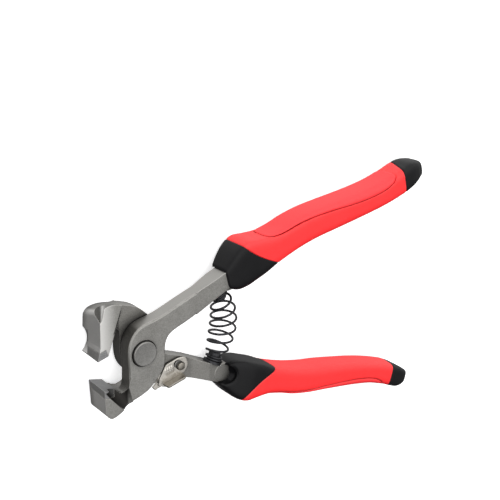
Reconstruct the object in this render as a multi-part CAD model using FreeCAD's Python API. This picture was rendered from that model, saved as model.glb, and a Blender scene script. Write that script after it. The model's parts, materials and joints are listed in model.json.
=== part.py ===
import FreeCAD, Part
import math
import os

# Tile nippers: two forged steel halves that lap at a pivot pin, carbide-tipped jaws,
# a barrel spring between the handles, a lock lever and two-colour moulded grips.
# Built lying flat, pivot axis along +Z, jaws towards -X, front half's handle towards +Y,
# then moved so that the origin is the middle of the box it stands on. All in millimetres.

V = FreeCAD.Vector

# ---- driving dimensions ----
JAW_WIDTH = 15.9            # five eighths of an inch across the cutting edges
HALF = JAW_WIDTH / 2.0
LAP_GAP = 0.30              # each half stays this far from the lap plane
BOSS_DROP = 1.8             # the shank grows this much past the lap plane near its grip
BOSS_RAMP = (31.5, 41.0)    # it grows between these distances from the pivot
SHANK_CHAMFER = 0.7
CARBIDE_THICK = 3.5
BRAZE = 0.2

PIN_R = 4.5
PIN_RUN = 0.05              # radial running clearance in the front half
PIN_HEAD_R = 6.2
PIN_HEAD_PROUD = 1.3
SEAT_R = 6.7
SEAT_DEPTH = 0.9
PIN_TAIL_PROUD = 1.3
TAIL_RING_R = 6.6
LAP_WASHER_R = 7.6

HANDLE_TILT = 15.0          # the grip's straight axis, from the tool's axis
PAD_AT = (49.3, 25.9)       # round swelling of the shank at the grip's mouth
PAD_R = 5.4
TANG_Z = (-1.8, 4.2)
TANG_LAST_S = 150.0

PEG_AT = (44.9, 20.5)       # where a spring peg leaves the front half's shank
PEG_TILT = 26.5             # the shank edge's slope there
PEG_Z = 2.0
PEG_R = 3.3
PEG_COLLAR_R = 4.7
PEG_COLLAR = 1.2
PEG_OUT = 6.2
PEG_IN = 3.0
PEG_ROOM = 0.6              # how far the grip's mouth keeps from the peg and its coils
WIRE_R = 0.6
SPRING_MID_R = 6.7
SPRING_END_R = PEG_R + WIRE_R + 0.1
SPRING_OPEN_TURNS = 6.5
SPRING_SHUT_TURNS = 1.5

RIVET_AT = (24.4, -15.9)
RIVET_R = 1.6
RIVET_HEAD_R = 2.1
EAR_THICK = 1.0
EAR_Z = 0.3                 # underside of the lever's near ear
FAR_EAR_THICK = 0.9
FAR_EAR_GAP = 0.15
LOCK_WASHER_R = 3.2

# grip stations: along the handle, inner edge, outer edge, lowest z, highest z on the front half,
# then how much nearer the tool's axis the inner and the outer edge lie on the rear half
GRIP = [
    (52.8, 8.4, 18.6, -4.6, 8.8, 0.0, 0.0),
    (57.5, 5.4, 22.0, -6.6, 9.2, 0.0, 0.0),
    (63.0, 4.5, 25.2, -8.2, 9.6, 0.0, 0.0),
    (69.5, 5.0, 26.8, -9.6, 9.6, 0.0, 0.3),
    (76.0, 5.8, 25.3, -9.6, 9.6, 0.0, 0.5),
    (83.0, 7.3, 23.7, -9.6, 9.6, 0.0, 0.8),
    (91.0, 8.4, 23.4, -9.6, 9.6, 0.3, 0.9),
    (101.0, 9.2, 24.4, -9.6, 9.6, 0.7, 1.1),
    (112.0, 9.2, 24.5, -9.6, 9.6, 1.1, 1.6),
    (124.0, 8.4, 23.4, -9.6, 9.6, 1.5, 2.0),
    (137.0, 7.6, 21.9, -9.6, 9.6, 1.4, 2.1),
    (150.0, 6.9, 20.6, -9.6, 9.6, 1.3, 2.1),
    (162.0, 6.6, 20.1, -9.6, 9.6, 1.0, 2.1),
    (172.0, 7.0, 20.6, -9.5, 9.5, 0.9, 1.7),
    (180.0, 7.8, 21.6, -9.3, 9.3, 0.9, 1.2),
    (185.6, 9.0, 22.0, -8.7, 8.7, 0.8, 1.0),
    (189.8, 10.4, 21.2, -7.6, 7.6, 0.7, 0.9),
    (193.2, 11.9, 19.6, -5.6, 5.6, 0.7, 0.8),
    (194.8, 13.8, 17.4, -3.0, 3.0, 0.7, 0.7),
]
GRIP_FLAT = 9.3             # the grips' sides are flat this far from the lap plane
GRIP_POWER = 4.0            # section exponent, 2 is an ellipse
SECTION_POINTS = 32
CAP_S = 179.5
CAP_LEAN = 0.33             # the cap's seam runs this much along the handle for each unit of z
PAD_GROOVE = 0.5


# ---- small helpers ----
def vec(p, z=0.0):
    return V(p[0], p[1], z)


def spline(points):
    curve = Part.BSplineCurve()
    curve.interpolate([vec(p) for p in points])
    return curve.toShape()


def lines(points):
    return [Part.makeLine(vec(a), vec(b)) for a, b in zip(points, points[1:])]


def slab(edges, z0, z1):
    """The closed outline made of edges in the XY plane, raised from z0 to z1."""
    wire = Part.Wire(Part.__sortEdges__(edges))
    face = Part.Face(wire)
    solid = face.extrude(V(0, 0, z1 - z0))
    solid.translate(V(0, 0, z0))
    return solid


def polygon(points, z0, z1):
    return slab(lines(list(points) + [points[0]]), z0, z1)


def rod(r, z0, z1, at=(0, 0)):
    return Part.makeCylinder(r, z1 - z0, V(at[0], at[1], z0))


def ring(r_out, r_in, z0, z1, at=(0, 0)):
    return rod(r_out, z0, z1, at).cut(rod(r_in, z0 - 1, z1 + 1, at))


def flip(shape):
    """Half a turn about the tool's own axis, which makes one half's piece the other's."""
    turned = shape.copy()
    turned.rotate(V(0, 0, 0), V(1, 0, 0), 180)
    return turned


def chamfered(solid, size, wanted):
    edges = [e for e in solid.Edges if wanted(e)]
    return solid.makeChamfer(size, edges)


def handle_point(s, t):
    """A point s along the handle's axis and t out from it, for the front half."""
    a = math.radians(HANDLE_TILT)
    return (s * math.cos(a) - t * math.sin(a), s * math.sin(a) + t * math.cos(a))


# ---- the two steel halves ----
SHANK_TOP = [(57.5, 35.0), (50.0, 32.2), (40.5, 28.2), (31.4, 24.7), (20.0, 20.5), (11.6, 17.2), (5.0, 15.3), (0.2, 14.2)]
CHEEK_FRONT = [(0.2, 14.2), (-3.3, 12.4), (-6.0, 9.5), (-7.6, 6.0), (-8.3, 2.0), (-8.4, -2.0), (-8.2, -6.0), (-8.2, -10.5)]
SHANK_LOW = [(57.5, 26.6), (50.0, 23.1), (45.8, 20.9), (35.4, 15.8), (28.4, 12.4), (22.7, 10.0), (17.0, 7.8), (14.0, 5.8), (12.3, 3.0), (11.6, -0.6)]
CHEEK_BACK = [(11.6, -5.0), (11.2, -9.0), (9.9, -11.9), (8.0, -14.4), (4.6, -17.9), (2.4, -19.7), (-0.4, -21.2), (-3.3, -22.3), (-6.7, -23.3)]


def cheek_plate():
    """Shank and cheek, the same on both halves, with its outer rim chamfered."""
    outline = [spline(SHANK_TOP + CHEEK_FRONT[1:]), spline(SHANK_LOW + CHEEK_BACK)]
    outline += lines([CHEEK_FRONT[-1], CHEEK_BACK[-1]]) + lines([SHANK_LOW[0], SHANK_TOP[0]])
    return chamfered(slab(outline, LAP_GAP, HALF), SHANK_CHAMFER, long_rim)


def jaw_block(mouth, backs, fronts):
    """A jaw as far as its cheek, ruled from its outline at -HALF to its outline at +HALF."""
    levels = []
    for z, back, front in ((-HALF, backs[0], fronts[0]), (HALF, backs[1], fronts[1])):
        edges = [spline(mouth), spline(back)] + lines([back[-1]] + front)
        edges += lines([CHEEK_FRONT[-1], CHEEK_BACK[-1]])
        wire = Part.Wire(Part.__sortEdges__(edges))
        wire.translate(V(0, 0, z))
        levels.append(wire)
    return Part.makeLoft(levels, True, True)


def lower_jaw():
    mouth = [LOWER_INNER, (-13.3, -17.2), (-11.4, -18.4), (-9.4, -17.0), (-8.4, -14.2), CHEEK_FRONT[-1]]
    inner_back = [CHEEK_BACK[-1], (-10.0, -25.0), (-13.4, -26.9), (-16.3, -28.3), (-18.6, -28.7), (-20.2, -27.9), (-21.0, -26.3)]
    outer_back = [CHEEK_BACK[-1], (-10.0, -25.4), (-13.4, -27.4), (-16.2, -28.7), (-18.4, -28.9), (-20.2, -27.6), (-21.2, -25.4)]
    return jaw_block(mouth, (inner_back, outer_back), ([LOWER_EDGE, LOWER_INNER], [LOWER_EDGE, LOWER_INNER]))


def upper_jaw():
    """Drawn flipped, like everything of the rear half; its back leans out towards the open side."""
    mouth = [flat(UPPER_INNER), (-16.9, -8.7), (-15.2, -11.6), (-12.4, -13.0), (-9.9, -12.3), CHEEK_FRONT[-1]]
    inner_back = [CHEEK_BACK[-1], (-10.6, -26.6), (-14.5, -27.8), (-18.0, -27.6), (-20.6, -26.5), (-22.1, -24.4)]
    outer_back = [CHEEK_BACK[-1], (-11.5, -23.6), (-16.3, -23.8), (-19.4, -23.3), (-21.6, -22.0), (-22.9, -19.5)]
    inner_front = [(-22.5, -8.5), flat(UPPER_EDGE), flat(UPPER_INNER)]
    outer_front = [(-23.6, -8.5), flat(UPPER_EDGE), flat(UPPER_INNER)]
    return jaw_block(mouth, (inner_back, outer_back), (inner_front, outer_front))


def polar(r, degrees):
    return (r * math.cos(math.radians(degrees)), r * math.sin(math.radians(degrees)))


def flat(p):
    return (p[0], -p[1])


LOWER_EDGE = polar(25.6, 212.6)
LOWER_INNER = (-14.6, -15.6)
UPPER_EDGE = polar(24.2, 175.6)
UPPER_INNER = (-18.7, 3.5)


def prism(profile, y0, y1):
    """The closed profile of (x, z) corners, carried from y0 to y1."""
    corners = [V(x, y0, z) for x, z in list(profile) + [profile[0]]]
    return Part.Face(Part.makePolygon(corners)).extrude(V(0, y1 - y0, 0))


def shank_steps(half):
    """Boss that ramps past the lap plane near the grip, the pad, and the tang inside the grip."""
    boss_outline = [(57.5, 35.0), (50.0, 32.2), (40.5, 28.2), (31.4, 24.7), (29.5, 23.9), (29.5, 12.9), (35.4, 15.9), (45.8, 20.9), (50.0, 23.1), (57.5, 26.6)]
    boss = polygon(boss_outline, -BOSS_DROP, HALF - 0.01)
    x0, x1 = BOSS_RAMP
    under = prism([(x0 - 10, LAP_GAP), (x0, LAP_GAP), (x1, -BOSS_DROP), (x1, -BOSS_DROP - 2), (x0 - 10, -BOSS_DROP - 2)], 0, 60)
    pad = rod(PAD_R, -BOSS_DROP - 0.2, HALF - 1.5, PAD_AT)
    rim = [e for e in pad.Edges if e.BoundBox.ZMax < -BOSS_DROP]
    tang = [handle_point(s, t) for s, t in ((58.0, 10.6), (58.0, 17.8), (72.0, 19.6), (TANG_LAST_S, 15.6), (TANG_LAST_S, 11.6), (72.0, 12.2))]
    bar = polygon(tang, TANG_Z[0], TANG_Z[1])
    end = polygon([(54.6, 20.0), (62.0, 20.0), (62.0, 40.0), (54.6, 40.0)], TANG_Z[1], HALF + 1)
    return half.fuse([boss.cut(under), pad.makeChamfer(0.5, rim)]).cut(end).fuse(bar).removeSplitter()


def long_rim(e):
    """The two long edges of a half's outer flat face."""
    box = e.BoundBox
    return abs(box.ZMin - HALF) < 1e-4 and abs(box.ZMax - HALF) < 1e-4 and e.Length > 40


def blank(jaw, keep):
    """One half before holes and scoops; keep bounds the jaw where it passes the lap plane."""
    cheek = [spline(SHANK_TOP + CHEEK_FRONT[1:]), spline(SHANK_LOW + CHEEK_BACK)]
    cheek += lines([CHEEK_FRONT[-1], CHEEK_BACK[-1]]) + lines([SHANK_LOW[0], SHANK_TOP[0]])
    over = jaw.fuse(slab(cheek, -HALF, LAP_GAP)).common(polygon(keep, -HALF - 1, LAP_GAP + 0.01))
    plate_side = jaw.common(Part.makeBox(80, 80, HALF, V(-60, -60, LAP_GAP)))
    return shank_steps(cheek_plate().fuse([plate_side, over]))


def front_arm_blank():
    keep = [(-40.0, -40.0), (-1.5, -40.0), (-3.0, -18.2), (-5.2, -19.3), (-7.6, -20.0), (-10.2, -19.2), (-12.4, -17.4)]
    return blank(lower_jaw(), keep + [LOWER_INNER, (-14.6, -5.0), (-40.0, -5.0)])


def rear_arm_blank():
    keep = [(-40.0, -40.0), (-9.0, -40.0), (-11.4, -23.6), (-13.2, -18.5), (-14.8, -14.6), (-16.9, -8.7)]
    return blank(upper_jaw(), keep + [flat(UPPER_INNER), (-18.0, 5.0), (-40.0, 5.0)])


def cone(a, b, r_a, r_b):
    """A cone, or with equal radii a cylinder, from point a to point b."""
    start, axis = V(*a), V(*b) - V(*a)
    return Part.makeCone(r_a, r_b, axis.Length, start, axis)


def lower_scoops():
    """Valley ground across the near face between jaw and cheek, shallower towards the back."""
    return cone((-15.6, -12.4, HALF + 1.6), (-7.9, -28.4, HALF + 3.6), 6.2, 3.8)


def upper_scoops():
    """The same valley, a hollow in the front face, and a notch in the open side's back corner."""
    valley = cone((-13.4, -5.0, HALF + 1.6), (-9.6, -28.4, HALF + 3.6), 5.4, 4.2)
    hollow = Part.makeCylinder(8.6, 9.0, V(-29.9, -8.6, HALF - 5.0))
    notch = cone((-22.1, -20.2, -8.3), (-21.65, -29.95, -2.75), 0.02, 6.6)
    return valley.fuse([hollow, notch])


def pocket_outline(edge, inner, extra):
    ex, ey = edge
    ix, iy = inner
    length = math.hypot(ix - ex, iy - ey)
    ux, uy = (ix - ex) / length, (iy - ey) / length
    nx, ny = uy, -ux
    deep = CARBIDE_THICK + extra
    back = -8.0
    return [
        (ex + ux * back - nx * 3, ey + uy * back - ny * 3),
        (ix - nx * 3, iy - ny * 3),
        (ix + nx * deep, iy + ny * deep),
        (ex + ux * back + nx * deep, ey + uy * back + ny * deep),
    ]


def split_jaw(blank, edge, inner):
    """Cuts the blank into steel, its braze layer and the carbide tip."""
    carbide = blank.common(polygon(pocket_outline(edge, inner, 0.0), -HALF - 1, HALF + 1))
    pocket = blank.common(polygon(pocket_outline(edge, inner, BRAZE), -HALF - 1, HALF + 1))
    braze = pocket.cut(carbide)
    return blank.cut(pocket), braze, carbide


def peg_pose(shape):
    """Moves a piece drawn along -Z at the origin to the front half's spring peg."""
    placed = shape.copy()
    placed.rotate(V(0, 0, 0), V(1, 0, 0), -90)
    placed.rotate(V(0, 0, 0), V(0, 0, 1), PEG_TILT)
    placed.translate(V(PEG_AT[0], PEG_AT[1], PEG_Z))
    return placed


def peg_shape():
    """A turned peg: a press-fit spigot, a collar and a nose that the end coils grip."""
    spigot = Part.makeCylinder(PEG_R - 0.4, PEG_IN, V(0, 0, 0))
    collar = Part.makeCylinder(PEG_COLLAR_R, PEG_COLLAR, V(0, 0, -PEG_COLLAR))
    nose = Part.makeCylinder(PEG_R, PEG_OUT - PEG_COLLAR, V(0, 0, -PEG_OUT))
    tip = [e for e in nose.Edges if e.BoundBox.ZMax < -PEG_OUT + 0.01]
    return spigot.fuse([collar, nose.makeChamfer(0.8, tip)]).removeSplitter()


def peg_seat():
    """A spot-faced seat for the peg's collar, with the hole for its spigot."""
    face = Part.makeCylinder(PEG_COLLAR_R + 0.2, 8.0, V(0, 0, -8.0))
    hole = Part.makeCylinder(PEG_R - 0.4, PEG_IN, V(0, 0, -0.01))
    return peg_pose(face.fuse(hole))


def peg_room():
    """What the grip's mouth leaves free round the peg and the coils on it."""
    widest = max(PEG_COLLAR_R, SPRING_END_R + WIRE_R) + PEG_ROOM
    return peg_pose(Part.makeCylinder(widest, 12.0, V(0, 0, -10.0)))


# ---- pivot ----
def pivot_pin():
    head = rod(PIN_HEAD_R, HALF - SEAT_DEPTH + 0.05, HALF + PIN_HEAD_PROUD)
    top = [e for e in head.Edges if e.BoundBox.ZMin > HALF + PIN_HEAD_PROUD - 0.01]
    tail = rod(PIN_R, -HALF - PIN_TAIL_PROUD, HALF)
    end = [e for e in tail.Edges if e.BoundBox.ZMax < -HALF - PIN_TAIL_PROUD + 0.01]
    return head.makeChamfer(0.45, top).fuse(tail.makeChamfer(0.4, end)).removeSplitter()


def tail_ring():
    plain = ring(TAIL_RING_R, PIN_R, -HALF - 1.0, -HALF)
    rim = [e for e in plain.Edges if e.BoundBox.ZMax < -HALF - 0.99 and e.BoundBox.XMax > PIN_R + 1]
    return plain.makeChamfer(0.3, rim)


def lap_washer():
    return ring(LAP_WASHER_R, PIN_R, -LAP_GAP, LAP_GAP - 0.03)


# ---- lock lever ----
def ear_heights():
    """Near ear's underside and top, far ear's underside and top."""
    far_top = -HALF - FAR_EAR_GAP
    return EAR_Z, EAR_Z + EAR_THICK, far_top - FAR_EAR_THICK, far_top


def lock_lever():
    """A bent strip round the rear shank: near ear, thumb flange, web, far ear and tongue."""
    x, y = RIVET_AT
    z1, z2, far_low, far_top = ear_heights()
    ear = [(x - 8.9, y + 2.9), (x - 0.6, y + 4.4), (x + 3.2, y + 2.6), (x + 3.6, y - 0.6), (x + 1.6, y - 3.4), (x - 10.4, y - 6.6), (x - 12.2, y - 3.6)]
    near_ear = polygon(ear, z1, z2)
    corners = [e for e in near_ear.Edges if abs(e.BoundBox.ZLength - EAR_THICK) < 1e-3 and e.BoundBox.XMin > x - 1]
    near_ear = near_ear.makeFillet(1.9, corners)
    flange = polygon([(x + 0.6, y - 3.7), (x - 10.4, y - 6.6), (x - 10.1, y - 7.8), (x + 0.9, y - 4.9)], z1, z2 + 4.4)
    lip = [e for e in flange.Edges if abs(e.BoundBox.ZMin - z2 - 4.4) < 1e-3]
    flange = flange.makeChamfer(0.4, [e for e in lip if e.Length > 5])
    web = polygon([(x - 12.4, y - 6.6), (x - 7.6, y - 8.4), (x - 7.9, y - 9.5), (x - 12.8, y - 7.8)], far_low, z2)
    join = polygon([(x - 12.2, y - 3.6), (x - 9.0, y - 5.6), (x - 7.6, y - 8.6), (x - 12.8, y - 7.6)], z1, z2)
    far_ear = polygon([(x - 12.6, y - 7.4), (x - 7.7, y - 9.0), (x + 2.6, y - 2.6), (x + 2.8, y + 1.4), (x - 0.8, y + 2.8), (x - 3.4, y + 1.0)], far_low, far_top)
    tongue = polygon([(x - 9.9, y - 6.3), (x - 12.6, y - 6.2), (x - 15.1, y - 8.5), (x - 14.1, y - 10.1), (x - 9.8, y - 8.7)], -2.2, -0.6)
    lever = near_ear.fuse([flange, web, join, far_ear, tongue])
    return lever.cut(rod(RIVET_R + PIN_RUN, far_low - 1, z2 + 1, RIVET_AT)).removeSplitter()


def lock_rivet():
    _z1, z2, far_low, _far_top = ear_heights()
    shank = rod(RIVET_R, far_low - 0.25, z2 + 0.5, RIVET_AT)
    near_head = rod(RIVET_HEAD_R, z2 + 0.05, z2 + 0.9, RIVET_AT)
    far_head = rod(RIVET_HEAD_R, far_low - 0.25, far_low - 0.04, RIVET_AT)
    top = [e for e in near_head.Edges if e.BoundBox.ZMin > z2 + 0.89]
    return shank.fuse([near_head.makeChamfer(0.4, top), far_head]).removeSplitter()


def lock_washer():
    return ring(LOCK_WASHER_R, RIVET_R, -LAP_GAP, EAR_Z - 0.03, RIVET_AT)


# ---- spring ----
def spring_path():
    """Centre of the wire: closed end coils on each peg and a bowed barrel between them."""
    a = math.radians(PEG_TILT)
    out = V(math.sin(a), -math.cos(a), 0)
    top = V(PEG_AT[0], PEG_AT[1], PEG_Z) + out * (PEG_COLLAR + WIRE_R + 0.05)
    low = V(top.x, -top.y, -top.z)
    out_low = V(out.x, -out.y, 0)
    shut = 2 * WIRE_R * 1.06 * SPRING_SHUT_TURNS
    turns = SPRING_OPEN_TURNS + 2 * SPRING_SHUT_TURNS
    steps = int(turns * 12)
    points = []
    for i in range(steps + 1):
        turn = turns * i / steps
        if turn < SPRING_SHUT_TURNS:
            f = turn / SPRING_SHUT_TURNS
            centre, along, r = top + out * (shut * f), out, SPRING_END_R
        elif turn > turns - SPRING_SHUT_TURNS:
            f = (turns - turn) / SPRING_SHUT_TURNS
            centre, along, r = low + out_low * (shut * f), V(-out_low.x, -out_low.y, 0), SPRING_END_R
        else:
            f = (turn - SPRING_SHUT_TURNS) / SPRING_OPEN_TURNS
            p0, p3 = top + out * shut, low + out_low * shut
            reach = (p0 - p3).Length * 0.34
            p1, p2 = p0 + out * reach, p3 + out_low * reach
            centre = p0 * (1 - f) ** 3 + p1 * (3 * f * (1 - f) ** 2) + p2 * (3 * f * f * (1 - f)) + p3 * f ** 3
            along = (p1 - p0) * (1 - f) ** 2 + (p2 - p1) * (2 * f * (1 - f)) + (p3 - p2) * f * f
            swell = math.sin(math.pi * f) ** 0.6
            r = SPRING_END_R + (SPRING_MID_R - SPRING_END_R) * swell
        along.normalize()
        side = along.cross(V(0, 0, 1))
        side.normalize()
        angle = 2 * math.pi * turn
        points.append(centre - side * (r * math.cos(angle)) + V(0, 0, 1) * (r * math.sin(angle)))
    return points


def return_spring():
    curve = Part.BSplineCurve()
    curve.interpolate(spring_path())
    wire = Part.Wire(curve.toShape())
    start = curve.value(curve.FirstParameter)
    heading = curve.tangent(curve.FirstParameter)[0]
    section = Part.Wire(Part.makeCircle(WIRE_R, start, heading))
    return wire.makePipeShell([section], True, True)


# ---- grips ----
def grip_section(s, inner, outer, low, high):
    """A superellipse across the handle, through SECTION_POINTS points."""
    mid_t, half_t = (inner + outer) / 2, (outer - inner) / 2
    mid_z, half_z = (low + high) / 2, (high - low) / 2
    points = []
    for i in range(SECTION_POINTS):
        a = 2 * math.pi * i / SECTION_POINTS
        c, n = math.cos(a), math.sin(a)
        t = mid_t + half_t * math.copysign(abs(c) ** (2 / GRIP_POWER), c)
        z = mid_z + half_z * math.copysign(abs(n) ** (2 / GRIP_POWER), n)
        x, y = handle_point(s, t)
        points.append(V(x, y, z))
    curve = Part.BSplineCurve()
    curve.interpolate(points, PeriodicFlag=True)
    return Part.Wire(curve.toShape())


def grip_blank(rear):
    """The whole grip in the front half's frame; the rear half's lies a little nearer the axis."""
    rows = [(s, inner - rear * r_in, outer - rear * r_out, low, high) for s, inner, outer, low, high, r_in, r_out in GRIP]
    loft = Part.makeLoft([grip_section(*row) for row in rows], True, False)
    return loft.common(Part.makeBox(300, 200, 2 * GRIP_FLAT, V(0, -100, -GRIP_FLAT)))


def collar_zone():
    seam = [handle_point(s, t) for s, t in ((61.0, 38.0), (66.0, 26.6), (70.0, 21.0), (76.4, 14.5), (83.6, 8.7), (93.0, 1.5))]
    rest = lines([seam[-1], (60.0, -5.0), (20.0, 10.0), (20.0, 52.0), seam[0]])
    return slab([spline(seam)] + rest, -20, 20)


def mouth_bite():
    """Round notch in the collar's low side, round the shank's pad."""
    return rod(PAD_R + 0.15, -20.0, -BOSS_DROP - 0.05, PAD_AT)


def cap_zone(lean):
    """Everything past the end cap's seam, which leans along the handle with z."""
    reach = 20.0
    near, far = CAP_S - lean * reach, CAP_S + lean * reach
    prow = prism([(near, reach), (far, -reach), (CAP_S + 60, -reach), (CAP_S + 60, reach)], -30, 60)
    prow.rotate(V(0, 0, 0), V(0, 0, 1), HANDLE_TILT)
    return prow


def pad_zone(grow):
    """The palm side's inlay; grow widens it to cut its groove."""
    g = grow
    low = [(72.5, 50.5 - g), (76.0, 45.6 - g), (81.5, 43.9 - g), (88.0, 45.3 - g), (95.0, 47.6 - g), (109.0, 50.2 - g), (123.0, 52.2 - g), (138.0, 53.9 - g), (148.0, 55.6 - g), (156.0, 59.0 - g), (161.5 + g, 64.5 - g), (163.0 + g, 72.0)]
    rest = lines([(163.0 + g, 72.0), (160.0, 90.0), (60.0, 70.0), (72.5, 50.5 - g)])
    return slab([spline(low)] + rest, -20, 20)


def grip_parts(half, rear):
    """Collar, end cap, palm pad and body of one half's grip, in the front half's frame."""
    blank = grip_blank(rear).cut(half).cut(peg_room()).cut(mouth_bite())
    caps = cap_zone(-CAP_LEAN if rear else CAP_LEAN)
    collar = blank.common(collar_zone())
    rest = blank.cut(collar_zone())
    cap = rest.common(caps)
    rest = rest.cut(caps)
    pad = rest.common(pad_zone(0.0))
    body = rest.cut(pad_zone(PAD_GROOVE))
    return {"grip_collar": collar, "grip_end_cap": cap, "grip_pad": pad, "grip_body": body}


def build():
    nodes = {}
    front = front_arm_blank().cut(lower_scoops())
    front = front.cut(rod(PIN_R + PIN_RUN, -20, 20)).cut(rod(SEAT_R, HALF - SEAT_DEPTH, 20)).cut(peg_seat())
    front, braze, carbide = split_jaw(front, LOWER_EDGE, LOWER_INNER)
    nodes["front_arm"] = front
    nodes["lower_braze"] = braze
    nodes["lower_carbide_tip"] = carbide

    rear = rear_arm_blank().cut(upper_scoops())
    rear = rear.cut(rod(PIN_R, -20, 20)).cut(peg_seat()).cut(rod(RIVET_R, -20, 20, flat(RIVET_AT)))
    rear, braze, carbide = split_jaw(rear, flat(UPPER_EDGE), flat(UPPER_INNER))
    nodes["rear_arm"] = flip(rear)
    nodes["upper_braze"] = flip(braze)
    nodes["upper_carbide_tip"] = flip(carbide)

    nodes["pivot_pin"] = pivot_pin()
    nodes["pivot_tail_ring"] = tail_ring()
    nodes["lap_washer"] = lap_washer()
    peg = peg_pose(peg_shape())
    nodes["upper_spring_peg"] = peg
    nodes["lower_spring_peg"] = flip(peg)
    nodes["return_spring"] = return_spring()
    nodes["lock_lever"] = lock_lever()
    nodes["lock_rivet"] = lock_rivet()
    nodes["lock_washer"] = lock_washer()
    for name, shape in grip_parts(front, False).items():
        nodes["upper_" + name] = shape
    for name, shape in grip_parts(front, True).items():
        nodes["lower_" + name] = flip(shape)
    return nodes


def main():
    os.makedirs("parts", exist_ok=True)
    nodes = build()
    box = FreeCAD.BoundBox()
    for shape in nodes.values():
        box.add(shape.optimalBoundingBox(False, False))
    shift = V(-box.Center.x, -box.Center.y, -box.ZMin)
    for name, shape in sorted(nodes.items()):
        shape.translate(shift)
        shape.exportStep(os.path.join("parts", name + ".step"))
        print(f"{name}: solids {len(shape.Solids)} valid {shape.isValid()} volume {shape.Volume:.1f}")
    print("box", box.XLength, box.YLength, box.ZLength)
    print("pivot at", shift.x, shift.y, shift.z)


main()
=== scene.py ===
# %% [markdown]
# # Tile nippers
# The steel halves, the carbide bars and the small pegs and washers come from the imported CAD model, and they
# keep their shape. This script gives them their finish, and it works out the moulded grips, the coil spring, the
# pivot pin and the bent latch as fine surfaces. Everything is in metres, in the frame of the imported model.

# %% Load the frame
import json
import math
import bmesh
import bpy
import numpy as np
from mathutils import Matrix


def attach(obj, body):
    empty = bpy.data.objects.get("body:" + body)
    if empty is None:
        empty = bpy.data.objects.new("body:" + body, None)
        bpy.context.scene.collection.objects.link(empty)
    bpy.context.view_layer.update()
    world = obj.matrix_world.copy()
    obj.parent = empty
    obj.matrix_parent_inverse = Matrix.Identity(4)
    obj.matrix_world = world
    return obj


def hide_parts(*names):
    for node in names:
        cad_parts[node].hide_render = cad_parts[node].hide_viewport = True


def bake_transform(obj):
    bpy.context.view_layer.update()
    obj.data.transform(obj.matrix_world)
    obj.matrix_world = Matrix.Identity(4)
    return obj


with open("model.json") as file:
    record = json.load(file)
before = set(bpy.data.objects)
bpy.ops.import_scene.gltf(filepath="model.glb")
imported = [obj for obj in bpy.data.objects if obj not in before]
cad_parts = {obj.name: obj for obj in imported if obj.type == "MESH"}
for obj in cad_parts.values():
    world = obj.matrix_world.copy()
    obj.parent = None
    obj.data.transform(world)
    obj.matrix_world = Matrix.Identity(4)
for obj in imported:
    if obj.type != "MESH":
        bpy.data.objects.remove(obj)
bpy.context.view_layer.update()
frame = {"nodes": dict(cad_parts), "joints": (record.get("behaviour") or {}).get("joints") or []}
MM = 0.001
joints = {joint["name"]: joint for joint in frame["joints"]}
PIVOT = np.array(joints["jaw_pivot"]["pos_m"])
RIVET = np.array(joints["lock_pivot"]["pos_m"])
print("nodes:", len(frame["nodes"]), "pivot pin at", PIVOT, "latch rivet at", RIVET)

# %% [markdown]
# ## The camera and the light
# The tool lies flat and the camera looks down on it from beyond the jaws, rolled so that the handles run up to
# the right. A camera can be aimed by angles or by a tracking target, but three plain vectors are easier to read:
# where the eye is, which way it looks and which way is up in the picture.

# %% Camera
EYE_FROM_PIVOT = np.array([-0.1908, 0.1771, 0.3429])
LOOK = np.array([0.5612, -0.3482, -0.7509])
UP = np.array([0.1973, 0.9373, -0.2872])
LENS_MM = 64.5


def aim(eye, look, up):
    """Rotation whose columns are the camera's right, its up and the reverse of where it looks."""
    look = look / np.linalg.norm(look)
    right = np.cross(look, up)
    right /= np.linalg.norm(right)
    m = np.eye(4)
    m[:3, 0], m[:3, 1], m[:3, 2], m[:3, 3] = right, np.cross(right, look), -look, eye
    return Matrix(m.tolist())


camera_data = bpy.data.cameras.new("studio_camera")
camera_data.sensor_width = 36.0
camera_data.lens = LENS_MM
camera_data.shift_x = 0.006
camera_data.shift_y = 0.070
camera_data.clip_start = 0.01
camera = bpy.data.objects.new("studio_camera", camera_data)
bpy.context.collection.objects.link(camera)
camera.matrix_world = aim(PIVOT + EYE_FROM_PIVOT, LOOK, UP)
bpy.context.scene.camera = camera
print("camera", [round(v, 4) for v in camera.location])

# %% [markdown]
# Light for a catalogue picture is soft and comes from all round. Three large lamps give the shadows, and the
# world is brighter towards the upper handle, so every face turned to that side catches a sheen and the faces
# turned to the eye keep their full colour. A bright wall would do the same, but a world needs no geometry.

# %% Floor, world and lamps
FLOOR_SIZE = 6.0
BRIGHT_SIDE = (0.10, 0.97, 0.22)
DIM, BRIGHT = 0.14, 1.25


def area_lamp(name, place, size, power):
    """A round lamp aimed at the middle of the tool."""
    lamp = bpy.data.lights.new(name, "AREA")
    lamp.shape = "DISK"
    lamp.size = size
    lamp.energy = power
    ob = bpy.data.objects.new(name, lamp)
    bpy.context.collection.objects.link(ob)
    place = np.array(place, float)
    ob.matrix_world = aim(place, -place, np.array([0.1, 0.2, 1.0]))


area_lamp("broad_lamp", (0.10, 0.85, 0.60), 1.6, 4.0)
area_lamp("front_lamp", (-0.75, 0.05, 0.65), 0.8, 1.6)
area_lamp("top_lamp", (0.05, -0.15, 1.20), 1.4, 5.0)

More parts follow.
